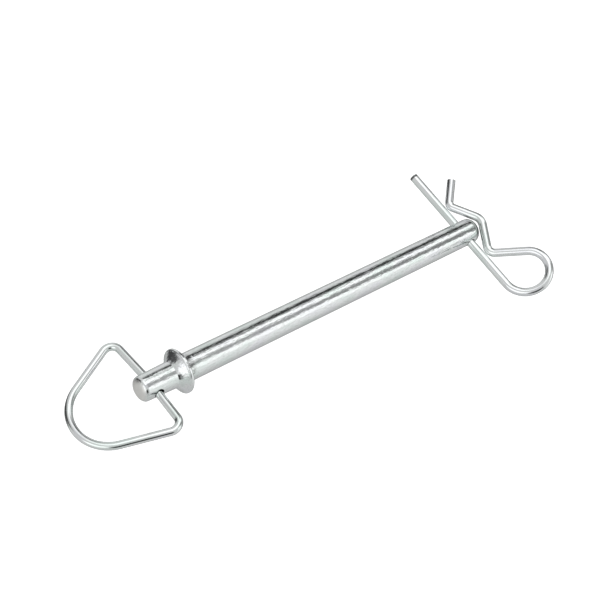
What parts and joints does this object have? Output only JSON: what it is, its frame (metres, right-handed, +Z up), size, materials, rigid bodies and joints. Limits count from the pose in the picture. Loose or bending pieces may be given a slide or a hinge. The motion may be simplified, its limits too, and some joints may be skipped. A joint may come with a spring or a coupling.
{
  "type": "hitch pin lock",
  "caption": "Forged collared hitch pin with a swinging bent-wire handle through its head and a removable R-shaped spring clip through its tip, bright zinc plated.",
  "frame": {"origin": "centre of the flat end face of the pin's head, on the pin's axis", "axes": "+X along the pin's axis from the head to the tip, Y along the handle's crossbar and nearly along the clip's straight leg, +Z up as the pin lies on its collar with the handle folded down in front"},
  "size_m": [0.3097, 0.1103, 0.0319],
  "materials": {
    "pin_zinc": "bright zinc plate over a turned and forged surface",
    "handle_zinc": "bright zinc plate over drawn wire",
    "clip_zinc": "bright zinc plate over drawn spring wire"
  },
  "bodies": {
    "pin": {"pin": "pin_zinc"},
    "handle": {"bail_handle": "handle_zinc"},
    "clip_leg": {"clip_straight_leg": "clip_zinc"},
    "clip_loop": {"clip_loop": "clip_zinc"},
    "clip_spring_leg": {"clip_wavy_leg": "clip_zinc"}
  },
  "joints": [
    {"name": "handle_swing", "type": "hinge", "parent": "pin", "child": "handle", "pos_m": [0.0093, 0, 0], "axis": [0, 1, 0], "range_deg": [-150, 182]},
    {"name": "clip_pull", "type": "slide", "parent": "pin", "child": "clip_leg", "axis": [0, -0.9895, -0.1444], "range_m": [0, 0.06], "deforming": ["clip_wavy_leg"]},
    {"name": "clip_swivel", "type": "hinge", "parent": "clip_leg", "child": "clip_loop", "pos_m": [0.2468, 0, 0], "axis": [0, 0.9895, 0.1444], "range_deg": [-54, 126]},
    {"name": "clip_flex", "type": "hinge", "parent": "clip_loop", "child": "clip_spring_leg", "pos_m": [0.25909, -0.06064, 0.00018], "axis": [0.5878, 0.1168, -0.8005], "range_deg": [0, 9], "stiffness_Nm_per_rad": 3}
  ]
}
